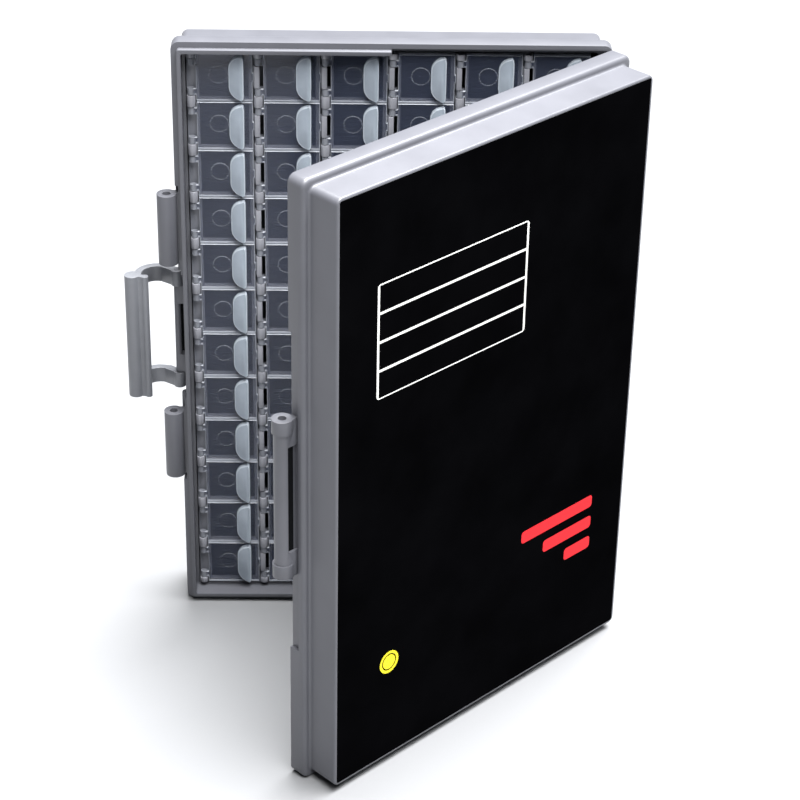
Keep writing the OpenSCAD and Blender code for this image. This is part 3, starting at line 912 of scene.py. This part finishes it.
class CASE_OT_label(bpy.types.Operator):
    """Prints the label film on the front shell"""

    bl_idname = "case.label"
    bl_label = "Label"

    def execute(self, context):
        prints = context.scene.case_prints
        film = self.film()
        dress(frame["nodes"]["front_label"], film)
        self.lay(self.panel(prints, self.ink("white_ink", "ink_white"), film))
        self.lay(self.bars(prints, self.ink("red_ink", "ink_red")))
        self.lay(self.dot(prints, self.ink("yellow_ink", "ink_yellow")))
        return {"FINISHED"}

    def film(self):
        # Printed polyester film: deep black with faint long waves from laying it down, and almost no shine.
        return plastic("black_label_film", "label", roughness=0.5, spread=0.3,
                       grain_mm=18.0, deep_mm=0.01, mottle_mm=30.0, IOR=1.4, Specular_IOR_Level=0.0)

    def ink(self, name, tint):
        # Screen ink: an even opaque coat with a slight orange peel.
        return plastic(name, tint, roughness=0.45, spread=0.03,
                       grain_mm=0.8, deep_mm=0.004, mottle_mm=5.0, IOR=1.48, Specular_IOR_Level=0.2)

    def lay(self, print_piece):
        """Sets a print, modelled upright about the label's middle, on the film."""
        sizes = bpy.context.scene.case_sizes
        turn = Matrix.Rotation(sizes.cover_open, 4, "Z")
        middle = Vector((-sizes.hinge_to_middle, -sizes.half_depth, 0))
        print_piece.data.transform(
            Matrix.Translation(joint_place("case_hinge")) @ turn @ Matrix.Translation(middle))
        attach(print_piece, "front_half")

    def pad(self, name, left, right, low, high, prints):
        """A flat pad of ink with rounded corners."""
        pad = brick(name, (left, -prints.ink_rise, low), (right, prints.ink_sunk, high))
        edit(pad, "EDGE")
        pick(pad, lambda e: abs(e.verts[0].co.y - e.verts[1].co.y) > prints.ink_sunk, "edges")
        bpy.ops.mesh.bevel(offset=prints.ink_corner, segments=3, profile=0.5)
        bpy.ops.object.mode_set(mode="OBJECT")
        return pad

    def panel(self, prints, white, film):
        """A blank write-on panel: a white frame with ruled lines."""
        left, right, low = prints.panel_left, prints.panel_right, prints.panel_low
        row = (prints.panel_high - low) / prints.panel_rows
        line = prints.ink_line
        panel = self.pad("label_panel", left, right, low, prints.panel_high, prints)
        dress(panel, white, film)
        rules = [low + row * step for step in range(prints.panel_rows + 1)]
        cuts = [((0, 0, z + side), (0, 0, 1)) for z in rules for side in (-line / 2, line / 2)]
        cuts += [((x, 0, 0), (1, 0, 0)) for x in (left + line, right - line)]
        edit(panel)
        for at, normal in cuts:
            bpy.ops.mesh.select_all(action="SELECT")
            bpy.ops.mesh.bisect(plane_co=at, plane_no=normal)

        def blank(face):
            at = face.calc_center_median()
            return (face.normal.y < -FACING and left + line < at.x < right - line
                    and all(abs(at.z - z) > line / 2 for z in rules))

        finish_faces(panel, blank)
        bpy.ops.object.mode_set(mode="OBJECT")
        return panel

    def bars(self, prints, red):
        """Plain bars, each shorter than the one above it."""
        bars = []
        for n in range(prints.bar_count):
            left = prints.bar_right - prints.bar_length + n * prints.bar_step
            top = prints.bar_top - n * prints.bar_pitch
            bars.append(self.pad(f"label_bar_{n}", left, prints.bar_right, top - prints.bar_height, top, prints))
        only(*bars[::-1])
        bpy.ops.object.join()
        bars[0].name = bars[0].data.name = "label_bars"
        dress(bars[0], red)
        return bars[0]

    def dot(self, prints, yellow):
        """A round dot with a thin ring round it."""
        bpy.ops.object.select_all(action="DESELECT")
        bpy.ops.mesh.primitive_cylinder_add(
            vertices=32, radius=prints.dot_radius, depth=prints.ink_rise + prints.ink_sunk,
            location=(prints.dot_across, (prints.ink_sunk - prints.ink_rise) / 2, prints.dot_up),
            rotation=(math.pi / 2, 0, 0))
        dot = named("label_dot")
        edit(dot)
        pick(dot, lambda f: f.normal.y < -FACING)
        bpy.ops.mesh.inset(thickness=prints.ink_line)
        for depth in (-2 * prints.ink_rise, 2 * prints.ink_rise):
            bpy.ops.mesh.inset(thickness=prints.ink_line / 2, depth=depth)
        bpy.ops.object.mode_set(mode="OBJECT")
        dress(dot, yellow)
        return dot


class CASE_OT_stage(bpy.types.Operator):
    """Sets the floor, the studio light and the camera"""

    bl_idname = "case.stage"
    bl_label = "Stage"

    def execute(self, context):
        stage = context.scene.case_stage
        bpy.ops.object.select_all(action="DESELECT")
        bpy.ops.mesh.primitive_plane_add(size=stage.floor_size, location=(0, 0, 0))
        floor = named("studio_floor")
        dress(floor, self.backdrop_card())
        top = self.lamp("SUN", "top_light", stage.top_place, stage.light_aim, stage.top_strength)
        top.angle = stage.top_spread
        front = self.lamp("AREA", "front_light", stage.front_place, stage.light_aim, stage.front_power)
        front.size = stage.front_size
        world = bpy.data.worlds.new("studio_room")
        world.use_nodes = True
        room = world.node_tree.nodes["Background"].inputs
        room["Color"].default_value = hex_linear(context.scene.case_colours.room)
        room["Strength"].default_value = stage.sky
        context.scene.world = world
        context.scene.view_settings.view_transform = "Standard"
        self.camera(context, stage)
        return {"FINISHED"}

    def backdrop_card(self):
        # Matt backdrop card: even, with no grain that shows at this distance.
        return plastic("pale_studio_floor", "floor", roughness=0.7, spread=0.01,
                       grain_mm=20.0, deep_mm=0.0, mottle_mm=200.0)

    def lamp(self, kind, name, place, aim, energy):
        """A light that faces its aim."""
        bpy.ops.object.light_add(type=kind, location=place)
        lamp = bpy.context.active_object
        lamp.name = lamp.data.name = name
        lamp.data.energy = energy
        lamp.rotation_euler = (Vector(aim) - Vector(place)).to_track_quat("-Z", "Y").to_euler()
        return lamp.data

    def camera(self, context, stage):
        """The camera of the photographed view."""
        place, aim = Vector(stage.camera_place), Vector(stage.camera_aim)
        bpy.ops.object.camera_add(location=place)
        camera = context.active_object
        camera.name = camera.data.name = "photo_camera"
        turn = (aim - place).to_track_quat("-Z", "Y").to_matrix() @ Matrix.Rotation(stage.camera_roll, 3, "Z")
        camera.rotation_euler = turn.to_euler()
        camera.data.sensor_width = FULL_FRAME
        camera.data.lens = stage.camera_lens
        camera.data.clip_start = 0.01
        context.scene.camera = camera


class CASE_PT_panel(bpy.types.Panel):
    """Lists the steps that dress the case"""

    bl_idname = "CASE_PT_panel"
    bl_label = "Storage case"
    bl_space_type = "VIEW_3D"
    bl_region_type = "UI"
    bl_category = "Storage Case"

    def draw(self, context):
        for step in STEPS:
            self.layout.operator(step.bl_idname)
        for name in GROUPS:
            group = getattr(context.scene, name)
            box = self.layout.box()
            for key in group.bl_rna.properties.keys():
                if key not in ("rna_type", "name"):
                    box.prop(group, key)


STEPS = (CASE_OT_shells, CASE_OT_strips, CASE_OT_latch, CASE_OT_lids, CASE_OT_label, CASE_OT_stage)
GROUPS = {"case_sizes": CaseSizes, "case_prints": CasePrints,
          "case_colours": CaseColours, "case_stage": CaseStage}


def register():
    for kind in (*GROUPS.values(), *STEPS, CASE_PT_panel):
        bpy.utils.register_class(kind)
    for key, group in GROUPS.items():
        setattr(bpy.types.Scene, key, bpy.props.PointerProperty(type=group))


def unregister():
    for key in GROUPS:
        delattr(bpy.types.Scene, key)
    for kind in (CASE_PT_panel, *STEPS[::-1], *list(GROUPS.values())[::-1]):
        bpy.utils.unregister_class(kind)


def main():
    register()
    bpy.ops.case.shells()
    bpy.ops.case.strips()
    bpy.ops.case.latch()
    bpy.ops.case.lids()
    bpy.ops.case.label()
    bpy.ops.case.stage()


if __name__ == "__main__":
    main()
